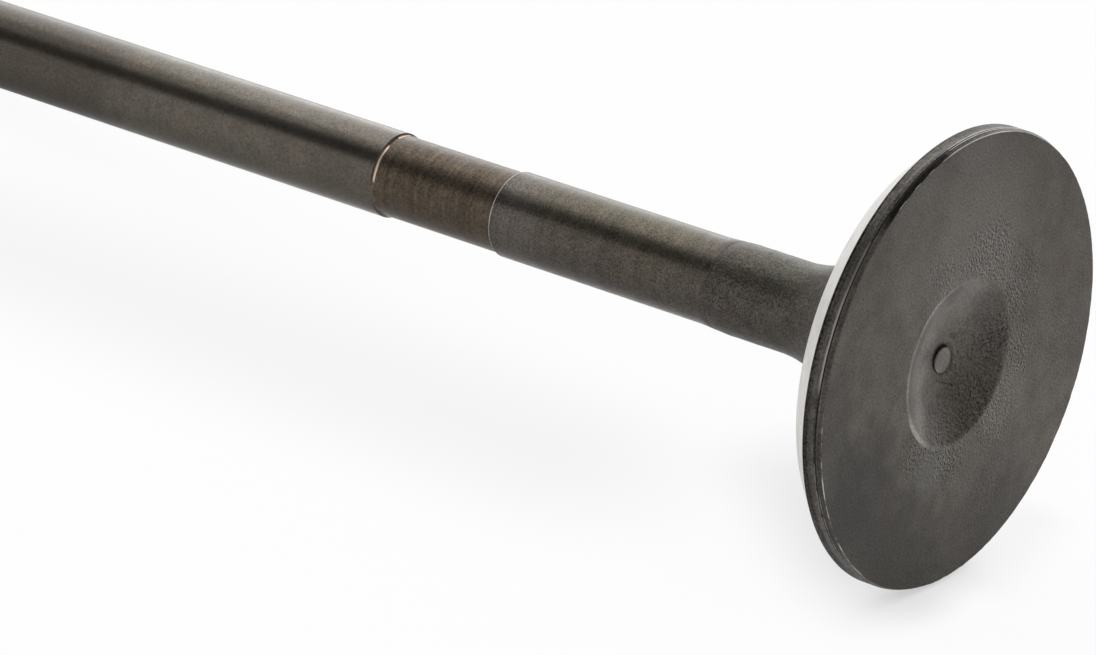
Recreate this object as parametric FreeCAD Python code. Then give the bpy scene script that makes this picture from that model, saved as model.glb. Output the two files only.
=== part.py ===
import FreeCAD, Part
import math
import os

# Engine poppet valve, forged and turned in one piece.
# Millimetres. +Z runs along the stem from the combustion face to the tip.
# The origin is the centre of the combustion face, which the valve stands on.

# Overall sizes
overall_length = 124.0
head_diameter = 41.0
stem_diameter = 7.97

# Combustion face: a shallow dish with a raised spot at its centre
dish_diameter = 14.7
dish_depth = 2.0
dish_edge_radius = 1.4
spot_diameter = 2.4
spot_height = 0.28
spot_edge_radius = 0.15

# Rim of the head, from the face towards the stem
face_chamfer_width = 0.18
face_chamfer_height = 0.45
witness_line_width = 0.16
witness_line_depth = 0.06
margin_top_height = 1.84

# Seat face, which closes on the port
seat_angle = 45.0
seat_width = 2.38

# Back of the head and the forged neck
back_angle = 20.0
neck_fillet_radius = 11.6
neck_diameter = 8.35
neck_top_height = 22.9
neck_run_out = 3.1

# Turned shank between the neck and the relief
shank_diameter = 7.96
shank_top_height = 48.5
shank_chamfer = 0.12

# Relief below the guided stem
relief_diameter = 7.56
relief_top_height = 61.9
stem_chamfer = 0.20

# Keeper groove and tip
keeper_groove_distance = 5.2
keeper_groove_radius = 1.2
keeper_groove_depth = 0.75
keeper_groove_lip = 0.12
tip_chamfer = 0.55

# Point that closes an arc: its middle, a share of the way round
ARC_MIDDLE = 0.5


class Profile:
    """Half section of a turned part: a chain of edges in the XZ plane, from axis to axis."""

    def __init__(self, radius, height):
        self.start = FreeCAD.Vector(radius, 0, height)
        self.at = self.start
        self.edges = []

    def line_to(self, radius, height):
        """Adds a straight edge to a point given by its radius and height."""
        end = FreeCAD.Vector(radius, 0, height)
        self.edges.append(Part.LineSegment(self.at, end).toShape())
        self.at = end

    def arc_to(self, radius, height, centre_radius, centre_height):
        """Adds the shorter arc about a centre to a point given by its radius and height."""
        end = FreeCAD.Vector(radius, 0, height)
        centre = FreeCAD.Vector(centre_radius, 0, centre_height)
        chord_middle = self.at + (end - self.at) * ARC_MIDDLE
        outward = (chord_middle - centre).normalize()
        on_arc = centre + outward * (end - centre).Length
        self.edges.append(Part.Arc(self.at, on_arc, end).toShape())
        self.at = end

    def revolve(self):
        """Closes the profile along the axis and turns it into a solid."""
        self.edges.append(Part.LineSegment(self.at, self.start).toShape())
        section = Part.Face(Part.Wire(self.edges))
        axis = FreeCAD.Vector(0, 0, 1)
        return section.revolve(FreeCAD.Vector(0, 0, 0), axis, 360)


def add_spot_and_dish(profile):
    """Raised centre spot, the spherical floor of the dish and its rounded edge."""
    sphere_radius = (dish_diameter**2 / 4 + dish_depth**2) / (2 * dish_depth)
    sphere_height = dish_depth - sphere_radius
    spot_radius = spot_diameter / 2

    # Spot: flat top, rounded edge, straight wall down to the dish floor
    spot_face_height = dish_depth - spot_height
    profile.line_to(spot_radius - spot_edge_radius, spot_face_height)
    profile.arc_to(
        spot_radius,
        spot_face_height + spot_edge_radius,
        spot_radius - spot_edge_radius,
        spot_face_height + spot_edge_radius,
    )
    floor_at_spot = sphere_height + math.sqrt(sphere_radius**2 - spot_radius**2)
    profile.line_to(spot_radius, floor_at_spot)

    # Edge: an arc tangent to the flat face and to the spherical floor
    reach = sphere_radius + dish_edge_radius
    edge_centre_radius = math.sqrt(reach**2 - (dish_edge_radius - sphere_height) ** 2)
    share = sphere_radius / reach
    rim_radius = edge_centre_radius * share
    rim_height = sphere_height + (dish_edge_radius - sphere_height) * share
    profile.arc_to(rim_radius, rim_height, 0, sphere_height)
    profile.arc_to(edge_centre_radius, 0, edge_centre_radius, dish_edge_radius)


def add_rim_and_seat(profile):
    """Face chamfer, witness line, margin and the conical seat face."""
    head_radius = head_diameter / 2
    profile.line_to(head_radius - face_chamfer_width, 0)
    profile.line_to(head_radius, face_chamfer_height)
    profile.line_to(head_radius - witness_line_depth, face_chamfer_height + witness_line_width / 2)
    profile.line_to(head_radius, face_chamfer_height + witness_line_width)
    profile.line_to(head_radius, margin_top_height)
    seat_rise = seat_width / math.tan(math.radians(seat_angle))
    profile.line_to(head_radius - seat_width, margin_top_height + seat_rise)


def add_back_and_neck(profile):
    """Conical back of the head, the fillet tangent to it and to the neck, and the neck's run-out."""
    slope = math.radians(back_angle)
    seat_inner_radius = profile.at.x
    seat_inner_height = profile.at.z
    neck_radius = neck_diameter / 2

    # The fillet's centre lies one fillet radius out from the neck, and from the cone
    centre_radius = neck_radius + neck_fillet_radius
    tangent_radius = centre_radius - neck_fillet_radius * math.sin(slope)
    tangent_height = seat_inner_height + (seat_inner_radius - tangent_radius) * math.tan(slope)
    centre_height = tangent_height + neck_fillet_radius * math.cos(slope)
    profile.line_to(tangent_radius, tangent_height)
    profile.arc_to(neck_radius, centre_height, centre_radius, centre_height)
    profile.line_to(neck_radius, neck_top_height)
    profile.line_to(shank_diameter / 2, neck_top_height + neck_run_out)


def add_shank_and_relief(profile):
    """Turned shank, the step down to the relief and the chamfered step up to the stem."""
    shank_radius = shank_diameter / 2
    relief_radius = relief_diameter / 2
    stem_radius = stem_diameter / 2
    profile.line_to(shank_radius, shank_top_height - shank_chamfer)
    profile.line_to(relief_radius, shank_top_height)
    profile.line_to(relief_radius, relief_top_height)
    profile.line_to(stem_radius, relief_top_height + stem_chamfer)


def add_groove_and_tip(profile):
    """Round-bottomed keeper groove with broken edges, and the chamfered flat tip."""
    stem_radius = stem_diameter / 2
    groove_height = overall_length - keeper_groove_distance
    bottom_radius = stem_radius - keeper_groove_depth
    centre_radius = bottom_radius + keeper_groove_radius
    mouth_radius = stem_radius - keeper_groove_lip
    half_mouth = math.sqrt(keeper_groove_radius**2 - (centre_radius - mouth_radius) ** 2)
    profile.line_to(stem_radius, groove_height - half_mouth - keeper_groove_lip)
    profile.line_to(mouth_radius, groove_height - half_mouth)
    profile.arc_to(bottom_radius, groove_height, centre_radius, groove_height)
    profile.arc_to(mouth_radius, groove_height + half_mouth, centre_radius, groove_height)
    profile.line_to(stem_radius, groove_height + half_mouth + keeper_groove_lip)
    profile.line_to(stem_radius, overall_length - tip_chamfer)
    profile.line_to(stem_radius - tip_chamfer, overall_length)
    profile.line_to(0, overall_length)


def make_valve():
    """The whole valve as one turned solid."""
    profile = Profile(0, dish_depth - spot_height)
    add_spot_and_dish(profile)
    add_rim_and_seat(profile)
    add_back_and_neck(profile)
    add_shank_and_relief(profile)
    add_groove_and_tip(profile)
    return profile.revolve()


os.makedirs("parts", exist_ok=True)
valve = make_valve()
valve.exportStep("parts/valve.step")
print("valve volume", round(valve.Volume, 1), "mm3, closed solid:", valve.isValid())
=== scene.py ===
import logging
import math
import random
from dataclasses import dataclass, field
from enum import Enum

import bpy
import numpy as np
from mathutils import Matrix, Vector, noise


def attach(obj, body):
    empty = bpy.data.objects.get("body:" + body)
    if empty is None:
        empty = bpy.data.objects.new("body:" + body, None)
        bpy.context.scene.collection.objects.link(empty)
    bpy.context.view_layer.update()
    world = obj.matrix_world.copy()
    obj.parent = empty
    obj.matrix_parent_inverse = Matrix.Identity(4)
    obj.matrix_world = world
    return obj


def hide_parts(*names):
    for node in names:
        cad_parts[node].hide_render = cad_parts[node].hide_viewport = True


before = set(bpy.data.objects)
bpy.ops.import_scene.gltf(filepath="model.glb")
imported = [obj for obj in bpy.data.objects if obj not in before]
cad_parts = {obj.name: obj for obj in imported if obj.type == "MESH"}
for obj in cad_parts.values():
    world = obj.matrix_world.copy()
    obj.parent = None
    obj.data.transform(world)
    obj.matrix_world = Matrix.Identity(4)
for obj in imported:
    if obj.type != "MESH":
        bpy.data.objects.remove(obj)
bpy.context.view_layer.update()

MM = 0.001
NODE = "valve"
BODY = "root"
BARE_AND_GLINT = "bare_metal_and_glint"
WHITE = (1.0, 1.0, 1.0)

log = logging.getLogger("valve_scene")

Point = tuple[float, float]
Place = tuple[float, float, float]
Colour = tuple[float, float, float]
Socket = bpy.types.NodeSocket
Amount = Socket | float

# Points in one ring of the mesh
COARSE, MEDIUM, FINE, FINEST = 192, 384, 768, 1536

# Shortest step along the outline, and the radius below which a ring is one point
SHORTEST_STEP, ON_AXIS = 1e-9, 1e-6

# Fractal noise of the mesh: how fast its octaves fade, the step between them and their number
NOISE_FADE, NOISE_STEP, NOISE_OCTAVES = 0.6, 2.0, 4

# Both parts of a unit step that goes as far up as it goes in
DIAGONAL = math.sqrt(0.5)

QUARTER_TURN, HALF_TURN, FULL_TURN = 90, 180, 360


class Zone(Enum):
    """Stretches of the turned surface, in the order of the materials on the mesh."""

    SPOT = "centre_spot"
    SPOT_WALL = "spot_wall"
    DISH = "dish"
    FACE = "combustion_face"
    CHAMFER = "face_chamfer"
    LINE = "dark_line"
    MARGIN = "margin"
    SEAT = "seat_face"
    BACK = "forged_back"
    NECK = "forged_neck"
    SHANK = "turned_shank"
    RELIEF = "relief"
    STEM = "ground_stem"
    TIP = "tip"


class Edge(Enum):
    """Broken edges of the turned part that show bare metal, and on the lit side the edges' painted
    highlight.
    """

    FACE = "edge of the face"
    CHAMFER = "edge between chamfer and witness line"
    WITNESS = "edge between witness line and margin"
    MARGIN = "edge between margin and seat"
    SHANK = "end of the shank"
    RELIEF = "step up to the stem"
    GROOVE = "edges of the keeper groove"
    TIP = "edges of the tip"


@dataclass(frozen=True)
class WornAndGlintArc:
    """Stretch of an edge shown as bare metal: rubbed bare, and on the lit side also a painted
    highlight.

    Angles are degrees about the axis, from -Y towards +X. The wear fades out over fade degrees
    past each end.
    """

    start: float
    stop: float
    amount: float
    fade: float = 6.0

    def share(self, turns: np.ndarray) -> np.ndarray:
        """Wear and painted highlight round the edge.

        Args:
            turns: Angles about the axis in degrees.

        Returns:
            The wear and highlight at each angle, from 0 to 1.
        """
        middle, half = (self.start + self.stop) / 2, (self.stop - self.start) / 2
        away = gap_between(turns, middle)
        return self.amount * np.clip(1 - (away - half) / self.fade, 0, 1)


# The strongest arcs on the lit side, such as the face's edge from 54° to 77°, the chamfer and
# witness line at the top and the relief's step, paint the edges' highlight as well as their wear.
EDGE_WEAR_AND_GLINT: dict[Edge, tuple[WornAndGlintArc, ...]] = {
    Edge.FACE: (
        WornAndGlintArc(-78, -24, 0.29, 4),
        WornAndGlintArc(-44.5, -40.5, 0.62, 1.5),
        WornAndGlintArc(-51, -49.5, 0.45, 2),
        WornAndGlintArc(-63.5, -61, 0.55, 1.5),
        WornAndGlintArc(-77, -73, 0.5, 2),
        WornAndGlintArc(54, 77, 1.0, 6),
        WornAndGlintArc(77, 100, 0.4, 8),
        WornAndGlintArc(31, 33, 0.5, 2),
        WornAndGlintArc(38, 39, 0.5, 2),
        WornAndGlintArc(43.5, 45, 0.45, 2),
        WornAndGlintArc(50, 51, 0.5, 2),
        WornAndGlintArc(212, 240, 0.5, 10),
        WornAndGlintArc(-180, 180, 0.05),
    ),
    Edge.CHAMFER: (WornAndGlintArc(58, 84, 0.9, 8), WornAndGlintArc(-80, -48, 0.4, 10), WornAndGlintArc(-180, 180, 0.06)),
    Edge.WITNESS: (
        WornAndGlintArc(-14, 17, 0.8, 6),
        WornAndGlintArc(58, 100, 0.7, 12),
        WornAndGlintArc(-82, -40, 0.42, 10),
        WornAndGlintArc(-180, 180, 0.1),
    ),
    Edge.MARGIN: (WornAndGlintArc(-180, 180, 0.32),),
    Edge.SHANK: (WornAndGlintArc(-180, 180, 0.75),),
    Edge.RELIEF: (
        WornAndGlintArc(-14, 33, 1.0, 8),
        WornAndGlintArc(60, 84, 0.95, 3),
        WornAndGlintArc(120, 150, 0.8, 10),
        WornAndGlintArc(196, 262, 0.9, 12),
        WornAndGlintArc(-180, 180, 0.18),
    ),
    Edge.GROOVE: (WornAndGlintArc(-180, 180, 0.5),),
    Edge.TIP: (WornAndGlintArc(-180, 180, 0.75),),
}


def gap_between(turns: np.ndarray, turn: float) -> np.ndarray:
    """Smallest angle in degrees between each of the turns and one turn."""
    return np.abs((turns - turn + HALF_TURN) % FULL_TURN - HALF_TURN)


def edge_wear_and_glint(edge: Edge | None, turns: np.ndarray) -> np.ndarray:
    """Share of bare metal and painted highlight round one edge.

    Args:
        edge: The edge, or None for plain surface.
        turns: Angles about the axis in degrees, from -Y towards +X.

    Returns:
        The strongest wear and highlight at each angle.
    """
    if edge is None:
        return np.zeros(len(turns))
    return np.max([arc.share(turns) for arc in EDGE_WEAR_AND_GLINT[edge]], axis=0)


# Outline of the turned part


@dataclass(frozen=True)
class Stretch:
    """One line or arc of the outline, from the end of the stretch before it.

    Sizes are millimetres. An arc has a centre. The edge at the end is broken with the radius
    ease, and its wear and painted highlight fade out over band. Rough is the height of the
    forging relief, and columns the points in each ring.
    """

    end: Point
    zone: Zone
    steps: int = 1
    centre: Point | None = None
    ease: float = 0.0
    edge: Edge | None = None
    band: float = 0.035
    rough: float = 0.0
    columns: int = COARSE


@dataclass
class Row:
    """One ring of the mesh: where it lies on the outline, and what its surface is like."""

    radius: float
    height: float
    zone: Zone
    columns: int
    edge: Edge | None = None
    rough: float = 0.0
    normal: Point = (1.0, 0.0)


@dataclass
class Outline:
    """Half section of the part, from the centre of the face to the centre of the tip.

    A broken edge has ease_steps rings, and takes at most longest_cut of the shorter stretch
    beside it.
    """

    start: Point
    ease_steps: int = 3
    longest_cut: float = 0.4
    stretches: list[Stretch] = field(default_factory=list)

    def add(self, *stretches: Stretch) -> None:
        """Appends stretches to the outline."""
        self.stretches.extend(stretches)

    def rows(self) -> list[Row]:
        """Samples the whole outline.

        Returns:
            The rings of the mesh in order, with their outward normals.
        """
        starts = [self.start] + [s.end for s in self.stretches[:-1]]
        cuts = [0.0] + [self._cut(i, starts) for i in range(len(self.stretches))]
        rows: list[Row] = [Row(*self.start, self.stretches[0].zone, 1)]
        for i, (begin, stretch) in enumerate(zip(starts, self.stretches)):
            following = self.stretches[min(i + 1, len(self.stretches) - 1)]
            band_in = self.stretches[max(i - 1, 0)].band
            rows += self._along(begin, stretch, (cuts[i], band_in), cuts[i + 1], following)
            if cuts[i + 1] > 0:
                rows += self._eased(begin, stretch, following, cuts[i + 1])
        self._set_normals(rows)
        return rows

    def _cut(self, index: int, starts: list[Point]) -> float:
        """How far the broken edge at the end of a stretch reaches along its neighbours.

        Args:
            index: Place of the stretch in the outline.
            starts: First point of each stretch.

        Returns:
            The length in millimetres, or 0 where the edge is left sharp.
        """
        stretch = self.stretches[index]
        if stretch.ease <= 0 or index + 1 == len(self.stretches):
            return 0.0
        before = np.subtract(stretch.end, starts[index])
        after = np.subtract(self.stretches[index + 1].end, stretch.end)
        cosine = np.dot(before, after) / (np.linalg.norm(before) * np.linalg.norm(after))
        reach = stretch.ease * math.tan(math.acos(max(-1.0, min(1.0, cosine))) / 2)
        shorter = min(np.linalg.norm(before), np.linalg.norm(after))
        return float(min(reach, self.longest_cut * shorter))

    def _along(
        self, begin: Point, stretch: Stretch, before: Point, cut_out: float, following: Stretch
    ) -> list[Row]:
        """Rings along one stretch, closer together beside a broken edge.

        Args:
            begin: The stretch's first point.
            stretch: The line or arc.
            before: Length taken by the broken edge before it, and that edge's band.
            cut_out: Length taken by the broken edge after it.
            following: The next stretch, whose zone starts at the last ring.

        Returns:
            The rings, without one at the very start.
        """
        look = (stretch.zone, stretch.columns)
        if stretch.centre is not None:
            points = arc_points(begin, stretch.end, stretch.centre, stretch.steps)
            rows = [Row(r, z, *look, rough=stretch.rough) for r, z in points]
        else:
            span = math.dist(begin, stretch.end)
            first, last = before[0], span - cut_out
            stops = set(np.linspace(first, last, stretch.steps + 1)[1:])
            if before[0] > 0:
                stops.add(min(first + before[1], (first + last) / 2))
            if cut_out > 0:
                stops.add(max(last - stretch.band, (first + last) / 2))
            rows = []
            for stop in sorted(stops):
                share = stop / span
                radius = begin[0] + (stretch.end[0] - begin[0]) * share
                height = begin[1] + (stretch.end[1] - begin[1]) * share
                edge = stretch.edge if cut_out > 0 and stop == last else None
                rows.append(Row(radius, height, *look, edge, stretch.rough))
        if cut_out == 0:
            rows[-1].zone = following.zone
        return rows

    def _eased(
        self, begin: Point, stretch: Stretch, following: Stretch, cut: float
    ) -> list[Row]:
        """Rings round one broken edge.

        Args:
            begin: First point of the stretch before the edge.
            stretch: The stretch before the edge.
            following: The stretch after it.
            cut: Length that the edge takes of each.

        Returns:
            The rings, the last of them on the following stretch.
        """
        corner = Vector(stretch.end)
        back = corner + (Vector(begin) - corner).normalized() * cut
        ahead = corner + (Vector(following.end) - corner).normalized() * cut
        rows = []
        for step in range(1, self.ease_steps + 1):
            t = step / self.ease_steps
            at = back * (1 - t) ** 2 + corner * (2 * t * (1 - t)) + ahead * t**2
            zone = following.zone if step == self.ease_steps else stretch.zone
            columns = max(stretch.columns, following.columns)
            rows.append(Row(at.x, at.y, zone, columns, stretch.edge, stretch.rough))
        return rows

    @staticmethod
    def _set_normals(rows: list[Row]) -> None:
        """Gives each ring the mean outward normal of the stretches beside it.

        Args:
            rows: All rings in order, whose normals are set in place.
        """
        places = np.array([(r.radius, r.height) for r in rows])
        steps = np.diff(places, axis=0)
        steps /= np.maximum(np.linalg.norm(steps, axis=1), SHORTEST_STEP)[:, None]
        tangents = np.vstack([steps[:1], steps[:-1] + steps[1:], steps[-1:]])
        for row, (along, up) in zip(rows, tangents):
            length = math.hypot(along, up) or 1.0
            row.normal = (up / length, -along / length)


def arc_points(begin: Point, end: Point, centre: Point, steps: int) -> list[Point]:
    """Points along the shorter arc about a centre.

    Args:
        begin: First end of the arc.
        end: Second end of the arc.
        centre: Centre of the arc.
        steps: Number of equal steps.

    Returns:
        The points after begin, up to and including end.
    """
    reach = math.dist(begin, centre)
    first = math.atan2(begin[1] - centre[1], begin[0] - centre[0])
    last = math.atan2(end[1] - centre[1], end[0] - centre[0])
    turn = (last - first + math.pi) % (2 * math.pi) - math.pi
    return [
        (
            centre[0] + reach * math.cos(first + turn * i / steps),
            centre[1] + reach * math.sin(first + turn * i / steps),
        )
        for i in range(1, steps + 1)
    ]


# Sub-assemblies of the valve, in millimetres


@dataclass(frozen=True)
class HeadFace:
    """Combustion face: flat, with a shallow dish and a raised spot at its centre.

    The spot's wall ends spot_wall_cut short of the dish's floor, which a foot as wide as
    spot_foot makes up. The rough values are heights of the forging relief.
    """

    dish_diameter: float = 14.7
    dish_depth: float = 2.0
    dish_edge_radius: float = 1.4
    spot_diameter: float = 2.4
    spot_height: float = 0.28
    spot_edge_radius: float = 0.15
    spot_foot: float = 0.08
    spot_wall_cut: float = 0.07
    spot_wall_break: float = 0.04
    edge_diameter: float = 40.64
    edge_break: float = 0.035
    edge_band: float = 0.06
    edge_zone: float = 0.4
    spot_rough: float = 0.01
    dish_rough: float = 0.02
    lip_rough: float = 0.008
    face_rough: float = 0.004

    @property
    def sphere(self) -> tuple[float, float]:
        """Radius of the dish's spherical floor, and the height of its centre."""
        radius = (self.dish_diameter**2 / 4 + self.dish_depth**2) / (2 * self.dish_depth)
        return radius, self.dish_depth - radius

    @property
    def start(self) -> Point:
        """Centre of the raised spot."""
        return 0.0, self.dish_depth - self.spot_height

    def stretches(self) -> list[Stretch]:
        """Outline from the centre of the spot to the edge of the face.

        Returns:
            The stretches in order.
        """
        radius, low = self.sphere
        spot, top = self.spot_diameter / 2, self.dish_depth - self.spot_height
        round_off = self.spot_edge_radius
        bend = (spot - round_off, top + round_off)
        reach = radius + self.dish_edge_radius
        edge = math.sqrt(reach**2 - (self.dish_edge_radius - low) ** 2)
        share = radius / reach
        rim = (edge * share, low + (self.dish_edge_radius - low) * share)
        floor = (spot, low + math.sqrt(radius**2 - spot**2) - self.spot_wall_cut)
        foot_radius = spot + self.spot_foot
        foot = (foot_radius, low + math.sqrt(radius**2 - foot_radius**2))
        lip, outer = (edge, self.dish_edge_radius), self.edge_diameter / 2
        return [
            Stretch((spot - round_off, top), Zone.SPOT, steps=4, rough=self.spot_rough),
            Stretch((spot, top + round_off), Zone.SPOT, steps=4, centre=bend),
            Stretch(floor, Zone.SPOT_WALL, steps=2, ease=self.spot_wall_break),
            Stretch(foot, Zone.DISH),
            Stretch(
                rim, Zone.DISH, steps=26, centre=(0.0, low), rough=self.dish_rough, columns=MEDIUM
            ),
            Stretch(
                (edge, 0.0), Zone.DISH, steps=7, centre=lip, rough=self.lip_rough, columns=MEDIUM
            ),
            Stretch(
                (outer - self.edge_zone, 0.0),
                Zone.FACE,
                steps=12,
                rough=self.face_rough,
                columns=FINE,
            ),
            Stretch(
                (outer, 0.0),
                Zone.FACE,
                steps=2,
                ease=self.edge_break,
                edge=Edge.FACE,
                band=self.edge_band,
                columns=FINEST,
            ),
        ]


@dataclass(frozen=True)
class HeadRim:
    """Chamfer, witness line and margin round the head, then the ground seat face.

    The head is a little smaller than the solid's, so that it lies inside the solid's facets.
    """

    head_diameter: float = 40.97
    chamfer_height: float = 0.45
    witness_width: float = 0.16
    witness_depth: float = 0.06
    margin_top: float = 1.84
    seat_angle: float = 45.0
    seat_width: float = 2.38
    line_break: float = 0.03
    line_band: float = 0.34
    seat_break: float = 0.05

    def stretches(self) -> list[Stretch]:
        """Outline from the edge of the face to the inner edge of the seat face.

        Returns:
            The stretches in order.
        """
        radius = self.head_diameter / 2
        low, wide = self.chamfer_height, self.witness_width
        rise = self.seat_width / math.tan(math.radians(self.seat_angle))
        groove = (radius - self.witness_depth, low + wide / 2)
        seat = (radius - self.seat_width, self.margin_top + rise)
        fine, soft = self.line_break, self.seat_break
        return [
            Stretch(
                (radius, low), Zone.CHAMFER, ease=fine, edge=Edge.CHAMFER, columns=FINEST
            ),
            Stretch(groove, Zone.LINE, columns=FINEST),
            Stretch(
                (radius, low + wide),
                Zone.LINE,
                ease=fine,
                edge=Edge.WITNESS,
                band=self.line_band,
                columns=FINE,
            ),
            Stretch(
                (radius, self.margin_top),
                Zone.MARGIN,
                steps=3,
                ease=soft,
                edge=Edge.MARGIN,
                columns=FINE,
            ),
            Stretch(seat, Zone.SEAT, steps=4, ease=soft, columns=FINE),
        ]


@dataclass(frozen=True)
class ForgedNeck:
    """Conical back of the head, the fillet and the neck, left as forged.

    The forged skin ends at skin_top, part of the way up the run-out, in the mark of the tool.
    """

    seat_inner: Point
    back_angle: float = 20.0
    fillet_radius: float = 11.6
    neck_diameter: float = 8.35
    top_height: float = 22.9
    run_out: float = 3.1
    shank_diameter: float = 7.96
    skin_top: float = 24.35
    mark_width: float = 0.20
    mark_depth: float = 0.045
    roughness: float = 0.022
    run_out_roughness: float = 0.0132

    def stretches(self) -> list[Stretch]:
        """Outline from the seat face to the turned shank.

        Returns:
            The stretches in order.
        """
        slope = math.radians(self.back_angle)
        neck = self.neck_diameter / 2
        middle = neck + self.fillet_radius
        tangent = middle - self.fillet_radius * math.sin(slope)
        height = self.seat_inner[1] + (self.seat_inner[0] - tangent) * math.tan(slope)
        centre = (middle, height + self.fillet_radius * math.cos(slope))
        shank, end = self.shank_diameter / 2, self.top_height + self.run_out
        skin, begin = self.skin_top, self.skin_top - self.mark_width
        mark = (self._run_out_at(skin) - self.mark_depth, (skin + begin) / 2)
        rough, fading = self.roughness, self.run_out_roughness
        return [
            Stretch((tangent, height), Zone.BACK, steps=8, rough=rough, columns=MEDIUM),
            Stretch((neck, centre[1]), Zone.NECK, steps=36, centre=centre, rough=rough),
            Stretch((neck, self.top_height), Zone.NECK, steps=22, rough=rough),
            Stretch((self._run_out_at(begin), begin), Zone.NECK, steps=8, rough=fading),
            Stretch(mark, Zone.NECK),
            Stretch((self._run_out_at(skin), skin), Zone.NECK),
            Stretch((shank, end), Zone.SHANK, steps=2),
        ]

    def _run_out_at(self, height: float) -> float:
        """Radius of the run-out from the neck to the shank at a height."""
        share = (height - self.top_height) / self.run_out
        return (self.neck_diameter + (self.shank_diameter - self.neck_diameter) * share) / 2


@dataclass(frozen=True)
class TurnedStem:
    """Turned shank, relief, ground stem, keeper groove and tip."""

    shank_diameter: float = 7.96
    shank_top: float = 48.5
    shank_chamfer: float = 0.12
    relief_diameter: float = 7.56
    relief_top: float = 61.9
    stem_chamfer: float = 0.20
    stem_diameter: float = 7.97
    length: float = 124.0
    groove_distance: float = 5.2
    groove_radius: float = 1.2
    groove_depth: float = 0.75
    groove_lip: float = 0.12
    tip_chamfer: float = 0.55
    step_break: float = 0.03
    lip_break: float = 0.04
    end_break: float = 0.05
    relief_break: float = 0.08
    shank_band: float = 0.06
    relief_band: float = 0.16

    def stretches(self) -> list[Stretch]:
        """Outline from the foot of the shank to the centre of the tip.

        Returns:
            The stretches in order.
        """
        shank, relief = self.shank_diameter / 2, self.relief_diameter / 2
        stem, tip = self.stem_diameter / 2, Edge.TIP
        step, end = self.shank_top - self.shank_chamfer, self.end_break
        ledge = self.length - self.tip_chamfer
        foot = (stem, self.relief_top + self.stem_chamfer)
        tip_edge = (stem - self.tip_chamfer, self.length)
        return [
            Stretch(
                (shank, step),
                Zone.SHANK,
                steps=6,
                ease=end,
                edge=Edge.SHANK,
                band=self.shank_band,
            ),
            Stretch(
                (relief, self.shank_top),
                Zone.SHANK,
                steps=2,
                ease=self.step_break,
                edge=Edge.SHANK,
            ),
            Stretch(
                (relief, self.relief_top),
                Zone.RELIEF,
                steps=6,
                ease=self.relief_break,
                edge=Edge.RELIEF,
                band=self.relief_band,
            ),
            Stretch(foot, Zone.STEM, steps=2, ease=self.step_break),
            *self._groove(),
            Stretch((stem, ledge), Zone.STEM, steps=3, ease=end, edge=tip),
            Stretch(tip_edge, Zone.TIP, steps=2, ease=end, edge=tip),
            Stretch((0.0, self.length), Zone.TIP, steps=5),
        ]

    def _groove(self) -> list[Stretch]:
        """Stem up to the keeper groove, and the round-bottomed groove with its broken edges.

        Returns:
            The stretches in order.
        """
        stem, lip = self.stem_diameter / 2, self.groove_lip
        at = self.length - self.groove_distance
        bottom = stem - self.groove_depth
        centre = (bottom + self.groove_radius, at)
        mouth = stem - lip
        half = math.sqrt(self.groove_radius**2 - (centre[0] - mouth) ** 2)
        edge_mark, soft = Edge.GROOVE, self.lip_break
        return [
            Stretch((stem, at - half - lip), Zone.STEM, steps=10, ease=soft, edge=edge_mark),
            Stretch((mouth, at - half), Zone.STEM),
            Stretch((bottom, at), Zone.STEM, steps=8, centre=centre),
            Stretch((mouth, at + half), Zone.STEM, steps=8, centre=centre),
            Stretch((stem, at + half + lip), Zone.STEM, ease=soft, edge=edge_mark),
        ]


@dataclass(frozen=True)
class Nick:
    """Small bruise across the edge of the face: degrees from -Y towards +X, and millimetres."""

    turn: float
    width: float
    depth: float


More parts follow.
